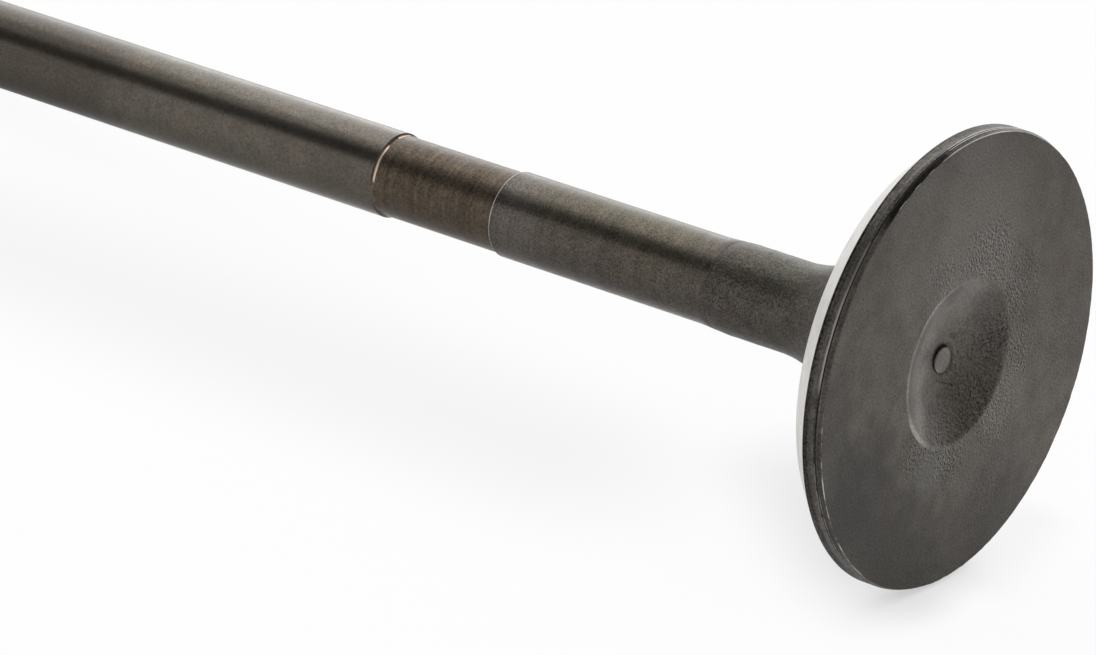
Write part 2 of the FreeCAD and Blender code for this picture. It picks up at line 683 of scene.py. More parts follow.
@dataclass
class ValveBody:
    """The whole valve as one closed mesh of rings, with forging relief and bruises.

    Sizes are millimetres. The edge of the face wanders over wander_reach and is bruised over
    nick_reach, both told from the edge; past edge_reach neither shows. The dish's shift off the
    axis fades out between the two radii of shift_reach.
    """

    face: HeadFace = HeadFace()
    rim: HeadRim = HeadRim()
    stem: TurnedStem = TurnedStem()
    forging_grain: float = 0.75
    edge_reach: float = 0.5
    edge_wander: float = 0.022
    wander_grain: float = 1.6
    wander_reach: float = 0.22
    bruises: tuple[Nick, ...] = (
        Nick(31.9, 0.9, 0.10),
        Nick(38.8, 0.7, 0.09),
        Nick(44.3, 0.8, 0.07),
        Nick(50.7, 0.6, 0.06),
        Nick(59.8, 0.8, 0.06),
        Nick(-32.4, 0.6, 0.05),
        Nick(-55.9, 0.8, 0.06),
    )
    nick_reach: float = 0.14
    small_nicks: int = 90
    small_widths: Point = (0.08, 0.4)
    small_depths: Point = (0.005, 0.035)
    nick_seed: int = 5
    spot_shift: Point = (-0.36, 0.06)
    dish_shift: Point = (-0.25, -0.27)
    shift_reach: Point = (8.0, 13.5)

    def outline(self) -> Outline:
        """Joins the outlines of the sub-assemblies.

        Returns:
            The whole half section.
        """
        outline = Outline(self.face.start)
        outline.add(*self.face.stretches())
        outline.add(*self.rim.stretches())
        neck = ForgedNeck(seat_inner=outline.stretches[-1].end)
        outline.add(*neck.stretches())
        outline.add(*self.stem.stretches())
        return outline

    def nicks(self) -> list[Nick]:
        """The bruises, and small nicks from a fixed seed.

        Returns:
            All of them, the bruises first.
        """
        dice = random.Random(self.nick_seed)
        turns = (-HALF_TURN, HALF_TURN)
        ranges = (turns, self.small_widths, self.small_depths)
        small = [
            Nick(*(dice.uniform(*limits) for limits in ranges)) for _ in range(self.small_nicks)
        ]
        return [*self.bruises, *small]

    def build(self) -> bpy.types.Object:
        """Builds the mesh object, in metres, with each face's material index set by its zone.

        Returns:
            The linked object, still without materials.
        """
        rows = self.outline().rows()
        points, faces, zones, wear_and_glint = self._grid(rows)
        mesh = bpy.data.meshes.new("valve_body")
        mesh.from_pydata(points.tolist(), [], faces)
        mesh.polygons.foreach_set("material_index", zones)
        bare_and_glint = mesh.attributes.new(BARE_AND_GLINT, "FLOAT", "POINT")
        bare_and_glint.data.foreach_set("value", wear_and_glint)
        mesh.shade_smooth()
        mesh.validate()
        mesh.update()
        body = bpy.data.objects.new("valve_body", mesh)
        bpy.context.scene.collection.objects.link(body)
        return body

    def _grid(
        self, rows: list[Row]
    ) -> tuple[np.ndarray, list[tuple[int, ...]], list[int], np.ndarray]:
        """Makes all rings and sews them together.

        Args:
            rows: The rings in order.

        Returns:
            The points, the faces, the zone of each face and the wear and painted highlight of each
            point.
        """
        order = list(Zone)
        points: list[np.ndarray] = []
        wear_and_glint: list[np.ndarray] = []
        faces: list[tuple[int, ...]] = []
        zones: list[int] = []
        begins: list[int] = []
        nicks = self.nicks()
        total = 0
        for row in rows:
            if row.radius < ON_AXIS:
                row.columns = 1
            angles = np.arange(row.columns) * (math.tau / row.columns)
            turns = np.degrees(angles) + QUARTER_TURN
            points.append(self._ring(row, angles, turns, nicks))
            wear_and_glint.append(edge_wear_and_glint(row.edge, turns))
            begins.append(total)
            total += row.columns
        for i in range(len(rows) - 1):
            made = sew(begins[i], rows[i].columns, begins[i + 1], rows[i + 1].columns)
            faces += made
            zones += [order.index(rows[i].zone)] * len(made)
        return np.vstack(points), faces, zones, np.concatenate(wear_and_glint)

    def _ring(
        self, row: Row, angles: np.ndarray, turns: np.ndarray, nicks: list[Nick]
    ) -> np.ndarray:
        """Points of one ring in metres.

        Args:
            row: The ring.
            angles: Angle of each point about the axis, in radians from +X.
            turns: The same angles in degrees from -Y towards +X.
            nicks: Bruises of the face's edge.

        Returns:
            The points, with the forging relief, the uneven edge and the bruises worked in.
        """
        out = np.stack([np.cos(angles), np.sin(angles), np.zeros(len(angles))], 1)
        up = np.array([0.0, 0.0, 1.0])
        ring = out * row.radius + up * row.height
        normal = out * row.normal[0] + up * row.normal[1]
        if row.rough > 0 and len(angles) > 1:
            # The relief only sinks, so that the mesh stays inside the CAD box
            lift = noise_along(ring, self.forging_grain) - 1.0
            ring += normal * (lift * row.rough)[:, None]
        edge_radius = self.face.edge_diameter / 2
        away = math.dist((row.radius, row.height), (edge_radius, 0.0))
        if away < self.edge_reach:
            wander = self.edge_wander * (1 + noise_along(ring, self.wander_grain))
            depth = wander * math.exp(-((away / self.wander_reach) ** 2))
            near = math.exp(-((away / self.nick_reach) ** 2))
            for nick in nicks:
                gap = np.radians(gap_between(turns, nick.turn))
                reach = np.clip(1 - gap * edge_radius / nick.width, 0, 1)
                depth = np.maximum(depth, nick.depth * reach * near)
            ring += (up - out) * (depth * DIAGONAL)[:, None]
        ring[:, :2] += self._shift(row)
        return ring * MM

    def _shift(self, row: Row) -> np.ndarray:
        """How far the forged dish and its spot lie off the axis.

        Args:
            row: The ring.

        Returns:
            The ring's shift along X and Y.
        """
        if row.zone in (Zone.SPOT, Zone.SPOT_WALL):
            return np.array(self.spot_shift)
        if row.height > self.face.dish_depth:
            return np.zeros(2)
        near, far = self.shift_reach
        share = min(max((far - row.radius) / (far - near), 0.0), 1.0)
        return np.array(self.dish_shift) * share


def noise_along(places: np.ndarray, grain: float) -> np.ndarray:
    """Fractal noise between -1 and 1 at each place, for a grain size in the same unit."""
    shape = (NOISE_FADE, NOISE_STEP, NOISE_OCTAVES)
    return np.clip([noise.fractal(Vector(place) / grain, *shape) for place in places], -1, 1)


def sew(first: int, count: int, second: int, other: int) -> list[tuple[int, ...]]:
    """Faces between two rings, which may have unlike numbers of points.

    Args:
        first: Index of the lower ring's first point.
        count: Points in the lower ring.
        second: Index of the upper ring's first point.
        other: Points in the upper ring.

    Returns:
        Quads, or triangles at the axis and where the count changes, facing outwards.
    """
    if count < other:
        return [tuple(reversed(face)) for face in sew(second, other, first, count)]
    if other == 1:
        return [(first + i, first + (i + 1) % count, second) for i in range(count)]
    if count == other:
        return [
            (first + i, first + (i + 1) % count, second + (i + 1) % count, second + i)
            for i in range(count)
        ]
    step = count // other
    faces: list[tuple[int, ...]] = []
    for j in range(other):
        here, following = second + j, second + (j + 1) % other
        fine = [first + (j * step + k) % count for k in range(step + 1)]
        middle = step // 2
        for k in range(step):
            faces.append((fine[k], fine[k + 1], here if k < middle else following))
        faces.append((fine[middle], following, here))
    return faces


# Node building


class Nodes:
    """Short way to add and link nodes in one tree."""

    def __init__(self, tree: bpy.types.NodeTree) -> None:
        """Works on an existing tree."""
        self.tree = tree

    @classmethod
    def fresh(cls, owner: bpy.types.Material | bpy.types.World) -> "Nodes":
        """Starts an empty tree.

        Args:
            owner: The material or the world that gets it.

        Returns:
            The node helper of its tree.
        """
        owner.use_nodes = True
        owner.node_tree.nodes.clear()
        return cls(owner.node_tree)

    def add(self, kind: str, /, **values: object) -> bpy.types.Node:
        """Adds a node.

        Args:
            kind: Blender's identifier of the node, without the words ShaderNode.
            values: Its inputs and settings, as feed takes them.

        Returns:
            The new node.
        """
        prefix = "" if kind.startswith("Node") else "ShaderNode"
        node = self.tree.nodes.new(prefix + kind)
        self.feed(node, **values)
        return node

    def feed(self, node: bpy.types.Node, **values: object) -> None:
        """Sets or links inputs of a node, and sets its settings.

        Args:
            node: The node.
            values: Inputs by name with underscores for spaces, or settings in lower case.
        """
        for name, value in values.items():
            if name[0].islower():
                setattr(node, name, value)
                continue
            socket = self._input(node, name.replace("_", " "))
            if isinstance(value, Socket):
                self.tree.links.new(value, socket)
            else:
                socket.default_value = value

    @staticmethod
    def _input(node: bpy.types.Node, name: str) -> Socket:
        """Finds an enabled input.

        Args:
            node: The node.
            name: Name of the input, or its number as in In0.

        Returns:
            The input.
        """
        if name.startswith("In") and name[2:].isdigit():
            return node.inputs[int(name[2:])]
        for socket in node.inputs:
            if socket.name == name and socket.enabled:
                return socket
        return node.inputs[name]

    def maths(
        self, operation: str, first: Amount, second: Amount = 0.0, third: Amount = 0.0
    ) -> Socket:
        """Adds a Math node and returns its output."""
        node = self.add("Math", operation=operation, In0=first, In1=second, In2=third)
        return node.outputs[0]

    def vector(self, operation: str, first: object, second: object) -> bpy.types.Node:
        """Adds a Vector Math node of two vectors."""
        return self.add("VectorMath", operation=operation, In0=first, In1=second)

    def scale(self, vector: object, share: Amount) -> Socket:
        """Scales a vector or a colour and returns the result."""
        return self.add("VectorMath", operation="SCALE", In0=vector, Scale=share).outputs[0]

    def ramp(
        self, value: Socket, low: float, high: float, to_low: float = 0.0, to_high: float = 1.0
    ) -> Socket:
        """Smoothly maps a value from one range to another.

        Args:
            value: The value.
            low: Start of its range.
            high: End of its range.
            to_low: Result at the start.
            to_high: Result at the end.

        Returns:
            The mapped value, which stays between the two results.
        """
        node = self.add("MapRange", interpolation_type="SMOOTHSTEP", In0=value)
        self.feed(node, In1=low, In2=high, In3=to_low, In4=to_high)
        return node.outputs[0]

    def mix(self, share: Amount, first: Socket | Colour, second: Socket | Colour) -> Socket:
        """Mixes two colours, by the share of the second, and returns the result."""
        one, other = (c if isinstance(c, Socket) else opaque(c) for c in (first, second))
        return self.add("Mix", data_type="RGBA", In0=share, In6=one, In7=other).outputs[2]

    def blend(self, share: Amount, first: Amount, second: Amount) -> Socket:
        """Mixes two plain values and returns the result."""
        span = self.maths("SUBTRACT", second, first)
        return self.maths("MULTIPLY_ADD", share, span, first)

    def mirror_ray(self) -> Socket:
        """Tells whether a ray comes from the steel's reflection, so that it can see other tones."""
        ray = self.add("LightPath").outputs
        return self.maths("MAXIMUM", ray["Is Glossy Ray"], ray["Is Transmission Ray"])


def opaque(colour: Colour) -> tuple[float, float, float, float]:
    """A colour with full alpha, as a colour socket takes it."""
    return (*colour, 1.0)


def new_group(
    name: str, inputs: dict[str, object], outputs: dict[str, str]
) -> tuple[Nodes, bpy.types.Node, bpy.types.Node]:
    """Starts a shader node group with named sockets.

    Args:
        name: Name of the group.
        inputs: Default of each input; a colour of four makes a colour input, three a vector.
        outputs: Kind of each output, Float or Color.

    Returns:
        The group's node helper, and its input and output nodes.
    """
    tree = bpy.data.node_groups.new(name, "ShaderNodeTree")
    for socket, default in inputs.items():
        kind = "Float"
        if isinstance(default, tuple):
            kind = "Color" if len(default) == 4 else "Vector"
        made = tree.interface.new_socket(
            name=socket, in_out="INPUT", socket_type="NodeSocket" + kind
        )
        made.default_value = default
    for socket, kind in outputs.items():
        tree.interface.new_socket(name=socket, in_out="OUTPUT", socket_type="NodeSocket" + kind)
    nodes = Nodes(tree)
    return nodes, nodes.add("NodeGroupInput"), nodes.add("NodeGroupOutput")


# Shared node groups. Places and lengths in them are metres.

ORIGIN = (0.0, 0.0, 0.0)

# Mean of a noise texture, and the stretches of it that lines, patches and tints are made of
NOISE_MEAN = 0.5
LINE_RANGE, PATCH_RANGE, TINT_RANGE = (0.35, 0.65), (0.3, 0.7), (0.42, 0.7)

# How far the tints lie from the patches in the noise, and their scale as a share of theirs
TINT_AWAY, TINT_SPREAD = (0.31, 0.17, 0.23), 0.8

# How far the pits are bent out of round, and where a pit's bowl starts and ends in its cell
PIT_BEND, PIT_BOWL = 0.00022, (0.12, 0.42)

# Step towards the light that finds the lit side of the fine relief, painted lighter while the far
# side is painted darker
LIT_STEP = (0.00006, 0.00006, 0.00002)

# How wear and noise make up bare metal and the painted edge highlight, and where they begin to show
WEAR_GAIN, WEAR_START = 0.75, -0.62
WORN_RANGE, FIRST_WEAR = (-0.05, 0.2), (0.02, 0.12)

# Scale of the noise that makes a patch ragged, and how ragged it is as a share of its reach
DRIFT_SCALE, RAGGED_SHARE = 420.0, 0.9


def build_turning_marks() -> bpy.types.NodeTree:
    """Fine lines left round the part by a cutting tool or a grinding wheel.

    Returns:
        The node group.
    """
    n, given, result = new_group(
        "turning_marks",
        {"Vector": ORIGIN, "Lines": 9000.0, "Wander": 60.0},
        {"Height": "Float", "Tone": "Float"},
    )
    apart = n.add("SeparateXYZ", In0=given.outputs["Vector"])
    flat = n.add("CombineXYZ", In0=apart.outputs[0], In1=apart.outputs[1])
    radius = n.add("VectorMath", operation="LENGTH", In0=flat.outputs[0])
    along = n.maths("ADD", radius.outputs["Value"], apart.outputs[2])
    line = n.maths("MULTIPLY", along, given.outputs["Lines"])
    around = [n.maths("MULTIPLY", apart.outputs[k], given.outputs["Wander"]) for k in (0, 1)]
    place = n.add("CombineXYZ", In0=around[0], In1=around[1], In2=line).outputs[0]
    fine = n.add("TexNoise", Vector=place, Scale=1.0, Detail=3.0, Roughness=0.6)
    coarse = n.add("TexNoise", Vector=place, Scale=0.2, Detail=2.0)
    both = n.blend(0.5, fine.outputs[0], coarse.outputs[0])
    n.feed(result, Height=both, Tone=n.ramp(both, *LINE_RANGE))
    return n.tree


def build_film_mottle() -> bpy.types.NodeTree:
    """Uneven dark film on the steel: soft patches of two tones, with warm tints between them.

    Returns:
        The node group.
    """
    n, given, result = new_group(
        "film_mottle",
        {
            "Vector": ORIGIN,
            "Scale": 300.0,
            "Light Film": (0.1, 0.1, 0.1, 1.0),
            "Dark Film": (0.05, 0.05, 0.05, 1.0),
            "Tint": (0.14, 0.08, 0.05, 1.0),
            "Tint Amount": 0.3,
        },
        {"Color": "Color", "Patches": "Float"},
    )
    place, scale = given.outputs["Vector"], given.outputs["Scale"]
    soft = n.add("TexNoise", Vector=place, Scale=scale, Detail=6.0, Roughness=0.65)
    patches = n.ramp(soft.outputs[0], *PATCH_RANGE)
    film = n.mix(patches, given.outputs["Dark Film"], given.outputs["Light Film"])
    shifted = n.vector("ADD", place, TINT_AWAY).outputs[0]
    wide = n.maths("MULTIPLY", scale, TINT_SPREAD)
    warm = n.add("TexNoise", Vector=shifted, Scale=wide, Detail=5.0, Roughness=0.65)
    tinted = n.ramp(warm.outputs[0], *TINT_RANGE)
    share = n.maths("MULTIPLY", tinted, given.outputs["Tint Amount"])
    n.feed(result, Color=n.mix(share, film, given.outputs["Tint"]), Patches=patches)
    return n.tree


def build_steel_grain() -> bpy.types.NodeTree:
    """Even matt grain of the surface, small pits where they are let through, and fine relief with
    its lit side for painted light and shade.

    Returns:
        The node group.
    """
    n, given, result = new_group(
        "steel_grain",
        {
            "Vector": ORIGIN,
            "Grain Scale": 4000.0,
            "Pit Scale": 2600.0,
            "Pit Cover": 0.3,
            "Relief Scale": 3000.0,
        },
        {name: "Float" for name in ("Height", "Speckle", "Pits", "Relief", "Lit Side")},
    )
    place, pit_scale = given.outputs["Vector"], given.outputs["Pit Scale"]
    coarse, relief_scale = given.outputs["Grain Scale"], given.outputs["Relief Scale"]
    grain = n.add("TexNoise", Vector=place, Scale=coarse, Detail=2.0, Roughness=0.6).outputs[0]
    bent = n.add("TexNoise", Vector=place, Scale=pit_scale, Detail=1.0)
    at = n.vector("ADD", place, n.scale(bent.outputs["Color"], PIT_BEND))
    cells = n.add("TexVoronoi", Vector=at.outputs[0], Scale=pit_scale)
    bowl = n.ramp(cells.outputs["Distance"], *PIT_BOWL, 1.0, 0.0)
    pick = n.add("SeparateColor", In0=cells.outputs["Color"])
    chosen = n.maths("LESS_THAN", pick.outputs[0], given.outputs["Pit Cover"])
    lean = n.vector("ADD", place, LIT_STEP).outputs[0]
    here, there = (
        n.add("TexNoise", Vector=spot, Scale=relief_scale, Detail=2.0, Roughness=0.6).outputs[0]
        for spot in (place, lean)
    )
    n.feed(
        result,
        Height=grain,
        Speckle=n.ramp(grain, *PATCH_RANGE),
        Pits=n.maths("MULTIPLY", bowl, chosen),
        Relief=here,
        Lit_Side=n.maths("SUBTRACT", here, there),
    )
    return n.tree


def build_bare_and_glinting_edges() -> bpy.types.NodeTree:
    """Bare metal where an edge has been rubbed or struck, and on the lit side the edge's painted
    highlight, broken up along the edge.

    Returns:
        The node group.
    """
    n, given, result = new_group(
        "bare_and_glinting_edges", {"Vector": ORIGIN, "Wear": 0.0, "Scale": 1500.0}, {"Mask": "Float"}
    )
    place, wear_and_glint, scale = (given.outputs[name] for name in ("Vector", "Wear", "Scale"))
    patchy = n.add("TexNoise", Vector=place, Scale=scale, Detail=3.0)
    level = n.maths("MULTIPLY_ADD", wear_and_glint, WEAR_GAIN, WEAR_START)
    over = n.maths("ADD", patchy.outputs[0], level)
    edge_mark = n.maths("MULTIPLY", n.ramp(over, *WORN_RANGE), n.ramp(wear_and_glint, *FIRST_WEAR))
    n.feed(result, Mask=edge_mark)
    return n.tree


def build_soft_patch() -> bpy.types.NodeTree:
    """Soft ragged patch about a place, for stains, painted highlights and painted shade, and fields
    of pits.

    Returns:
        The node group.
    """
    n, given, result = new_group(
        "soft_patch",
        {"Vector": ORIGIN, "Centre": ORIGIN, "Reach": 0.004, "Ragged": 0.003, "Fade": 0.75},
        {"Mask": "Float"},
    )
    place = given.outputs["Vector"]
    drift = n.add("TexNoise", Vector=place, Scale=DRIFT_SCALE, Detail=4.0, Roughness=0.6)
    middle = n.vector("SUBTRACT", drift.outputs["Color"], (NOISE_MEAN,) * 3)
    at = n.vector("ADD", place, n.scale(middle.outputs[0], given.outputs["Ragged"]))
    away = n.vector("DISTANCE", at.outputs[0], given.outputs["Centre"]).outputs["Value"]
    share = n.maths("DIVIDE", away, given.outputs["Reach"])
    inside = n.maths("DIVIDE", n.maths("SUBTRACT", 1.0, share), given.outputs["Fade"])
    n.feed(result, Mask=n.ramp(inside, 0.0, 1.0))
    return n.tree


def build_soft_line() -> bpy.types.NodeTree:
    """Soft straight mark between two places, for scratches and for shadows on the table.

    Returns:
        The node group. Its input Farther is added to the distance from the line.
    """
    n, given, result = new_group(
        "soft_line",
        {
            "Vector": ORIGIN,
            "Start": ORIGIN,
            "End": (0.0, 0.0, 0.001),
            "Reach": 0.001,
            "Farther": 0.0,
        },
        {"Mask": "Float"},
    )
    start, place = given.outputs["Start"], given.outputs["Vector"]
    span = n.vector("SUBTRACT", given.outputs["End"], start).outputs[0]
    gone = n.vector("SUBTRACT", place, start).outputs[0]
    along, whole = (
        n.vector("DOT_PRODUCT", walk, span).outputs["Value"] for walk in (gone, span)
    )
    share = n.add("Clamp", In0=n.maths("DIVIDE", along, whole)).outputs[0]
    foot = n.vector("ADD", start, n.scale(span, share)).outputs[0]
    away = n.vector("DISTANCE", place, foot).outputs["Value"]
    total = n.maths("ADD", away, given.outputs["Farther"])
    inside = n.maths("SUBTRACT", 1.0, n.maths("DIVIDE", total, given.outputs["Reach"]))
    n.feed(result, Mask=n.ramp(inside, 0.0, 1.0))
    return n.tree


@dataclass(frozen=True)
class Toolkit:
    """The shared node groups of this valve's finishes."""

    turning: bpy.types.NodeTree
    mottle: bpy.types.NodeTree
    grain: bpy.types.NodeTree
    edges: bpy.types.NodeTree
    patch: bpy.types.NodeTree
    line: bpy.types.NodeTree

    @classmethod
    def build(cls) -> "Toolkit":
        """Builds each group once.

        Returns:
            All the groups.
        """
        return cls(
            build_turning_marks(),
            build_film_mottle(),
            build_steel_grain(),
            build_bare_and_glinting_edges(),
            build_soft_patch(),
            build_soft_line(),
        )


# Finishes, with places and reaches in millimetres


@dataclass(frozen=True)
class StainAndPaintedLight:
    """Soft patch of another colour, which is a stain, a painted highlight or painted shade: where
    it is, how far it reaches and how strong it is.

    Fade is the outer share of the reach in which it fades out.
    """

    place: Place
    reach: float
    colour: Colour
    amount: float
    fade: float = 0.75


@dataclass(frozen=True)
class PitField:
    """Patch where pits lie close together: where it is, how far it reaches and its cover."""

    place: Place
    reach: float
    cover: float


@dataclass(frozen=True)
class Scratch:
    """Straight scratch or dent: its ends, its half width and how dark it is."""

    start: Place
    end: Place
    reach: float
    amount: float


@dataclass(frozen=True)
class SteelFinish:
    """One finish of the steel: its film, its bare metal, which on lit edges also paints their
    highlight, and the marks on it.

    Scales count per metre. Depths are heights in millimetres, and tones say how much lighter or
    darker a mark makes the steel. Grazing tint dims the reflection at a flat angle.
    """

    light_film: Colour
    dark_film: Colour
    tint: Colour = (0.12, 0.075, 0.05)
    tint_amount: float = 0.15
    mottle_scale: float = 700.0
    roughness: float = 0.35
    roughness_swing: float = 0.06
    bare_and_glint: Colour = (0.56, 0.53, 0.50)
    bare_roughness: float = 0.32
    bare_scale: float = 1500.0
    least_polish: float = 0.1
    lines: float = 9000.0
    wander: float = 60.0
    line_depth: float = 0.0
    line_tone: float = 0.0
    grain_scale: float = 4000.0
    grain_depth: float = 0.0
    grain_tone: float = 0.0
    pit_scale: float = 2600.0
    pit_cover: float = 0.0
    pit_tone: float = 0.0
    pit_depth: float = 0.0
    relief_scale: float = 3000.0
    relief_painted_light: float = 0.0
    relief_depth: float = 0.0
    least_tone: float = 0.1
    grazing_tint: float = 1.0
    pit_fields: tuple[PitField, ...] = ()
    stains_and_painted_light: tuple[StainAndPaintedLight, ...] = ()
    scratches: tuple[Scratch, ...] = ()

    def material(self, name: str, kit: Toolkit) -> bpy.types.Material:
        """Builds the material.

        Args:
            name: Name of the material.
            kit: The shared node groups.

        Returns:
            The material, with its Principled BSDF fed by the groups.
        """
        material = bpy.data.materials.new(name)
        n = Nodes.fresh(material)
        place = n.add("TexCoord").outputs["Object"]
        mottle = n.add(
            "Group",
            node_tree=kit.mottle,
            Vector=place,
            Scale=self.mottle_scale,
            Light_Film=opaque(self.light_film),
            Dark_Film=opaque(self.dark_film),
            Tint=opaque(self.tint),
            Tint_Amount=self.tint_amount,
        )
        marks = n.add(
            "Group", node_tree=kit.turning, Vector=place, Lines=self.lines, Wander=self.wander
        )
        cover = self._cover(n, kit, place)
        grain = n.add(
            "Group",
            node_tree=kit.grain,
            Vector=place,
            Grain_Scale=self.grain_scale,
            Pit_Scale=self.pit_scale,
            Pit_Cover=cover,
            Relief_Scale=self.relief_scale,
        )
        # Wear and painted highlight of the edges, as the mesh holds them
        edge_mark = n.add("Attribute", attribute_name=BARE_AND_GLINT, attribute_type="GEOMETRY").outputs["Fac"]
        edges = n.add("Group", node_tree=kit.edges, Vector=place, Wear=edge_mark, Scale=self.bare_scale)
        mask = edges.outputs["Mask"]

        film = self._stained_and_painted(n, kit, place, mottle.outputs["Color"])
        tone = self._scratched(n, kit, place, self._tone(n, marks, grain, cover))
        polish = n.maths("MULTIPLY_ADD", edge_mark, 1 - self.least_polish, self.least_polish)
        colour = n.mix(mask, n.scale(film, tone), n.scale(self.bare_and_glint, polish))
        patches = n.maths("SUBTRACT", mottle.outputs["Patches"], NOISE_MEAN)
        swing = n.maths("MULTIPLY_ADD", patches, -self.roughness_swing, self.roughness)
        rough = n.blend(mask, swing, self.bare_roughness)
        height = self._height(n, marks, grain, cover)
        bump = n.add("Bump", Strength=1.0, Distance=MM, Height=height).outputs[0]
        surface = n.add("BsdfPrincipled", Base_Color=colour, Roughness=rough, Metallic=1.0)
        n.feed(surface, Normal=bump, Specular_Tint=opaque((self.grazing_tint,) * 3))
        n.add("OutputMaterial", In0=surface.outputs[0])
        return material

    def _cover(self, n: Nodes, kit: Toolkit, place: Socket) -> Amount:
        """Share of the pits that show, which is larger in the pit fields.

        Args:
            n: The material's nodes.
            kit: The shared node groups.
            place: Place on the surface.

        Returns:
            The share, from 0 to 1.
        """
        cover: Amount = self.pit_cover
        for pits in self.pit_fields:
            mask = self._patch(n, kit, place, pits.place, pits.reach)
            cover = n.maths("MAXIMUM", cover, n.maths("MULTIPLY", mask, pits.cover))
        return cover

    def _tone(
        self, n: Nodes, marks: bpy.types.Node, grain: bpy.types.Node, cover: Amount
    ) -> Socket:
        """Lighter and darker tone from the turning lines, the grain, the painted light and shade of
        the relief, and the pits.

        Args:
            n: The material's nodes.
            marks: The turning marks.
            grain: The grain.
            cover: Share of the pits that show.

        Returns:
            The tone, of which 1 leaves the film as it is.
        """
        line = n.maths("SUBTRACT", marks.outputs["Tone"], NOISE_MEAN)
        speckle = n.maths("SUBTRACT", grain.outputs["Speckle"], NOISE_MEAN)
        tone = n.maths("MULTIPLY_ADD", line, self.line_tone, 1.0)
        tone = n.maths("MULTIPLY_ADD", speckle, self.grain_tone, tone)
        lit = n.maths("MULTIPLY", grain.outputs["Lit Side"], self.relief_painted_light)
        tone = n.maths("MULTIPLY_ADD", lit, cover, tone)
        tone = n.maths("MULTIPLY_ADD", grain.outputs["Pits"], -self.pit_tone, tone)
        return n.maths("MAXIMUM", tone, self.least_tone)

    def _height(
        self, n: Nodes, marks: bpy.types.Node, grain: bpy.types.Node, cover: Amount
    ) -> Socket:
        """Height of the same marks, for the bump.

        Args:
            n: The material's nodes.
            marks: The turning marks.
            grain: The grain.
            cover: Share of the pits that show.

        Returns:
            The height in millimetres.
        """
        lines = n.maths("MULTIPLY", marks.outputs["Height"], self.line_depth)
        fine = n.maths("MULTIPLY_ADD", grain.outputs["Height"], self.grain_depth, lines)
        height = n.maths("MULTIPLY_ADD", grain.outputs["Pits"], -self.pit_depth, fine)
        relief = n.maths("MULTIPLY", grain.outputs["Relief"], self.relief_depth)
        return n.maths("MULTIPLY_ADD", relief, cover, height)

    def _scratched(self, n: Nodes, kit: Toolkit, place: Socket, tone: Socket) -> Socket:
        """Darkens the tone along the scratches.

        Args:
            n: The material's nodes.
            kit: The shared node groups.
            place: Place on the surface.
            tone: The tone without them.

        Returns:
            The tone with them.
        """
        for scratch in self.scratches:
            line = n.add(
                "Group",
                node_tree=kit.line,
                Vector=place,
                Start=Vector(scratch.start) * MM,
                End=Vector(scratch.end) * MM,
                Reach=scratch.reach * MM,
            )
            kept = n.maths("MULTIPLY_ADD", line.outputs["Mask"], -scratch.amount, 1.0)
            tone = n.maths("MULTIPLY", tone, kept)
        return tone

    def _stained_and_painted(self, n: Nodes, kit: Toolkit, place: Socket, film: Socket) -> Socket:
        """Lays the stains, the painted highlights and the painted shade over the film.

        Args:
            n: The material's nodes.
            kit: The shared node groups.
            place: Place on the surface.
            film: Colour of the film.

        Returns:
            The colour with the stains.
        """
        for tone_patch in self.stains_and_painted_light:
            mask = self._patch(n, kit, place, tone_patch.place, tone_patch.reach, tone_patch.fade)
            film = n.mix(n.maths("MULTIPLY", mask, tone_patch.amount), film, tone_patch.colour)
        return film

    @staticmethod
    def _patch(
        n: Nodes, kit: Toolkit, place: Socket, centre: Place, reach: float, fade: float = 0.75
    ) -> Socket:
        """Adds one soft patch.

        Args:
            n: The material's nodes.
            kit: The shared node groups.
            place: Place on the surface.
            centre: Centre of the patch.
            reach: How far it reaches.
            fade: Outer share of the reach in which it fades out.

        Returns:
            The patch's mask.
        """
        patch = n.add(
            "Group",
            node_tree=kit.patch,
            Vector=place,
            Centre=Vector(centre) * MM,
            Reach=reach * MM,
            Ragged=reach * MM * RAGGED_SHARE,
            Fade=fade,
        )
        return patch.outputs["Mask"]


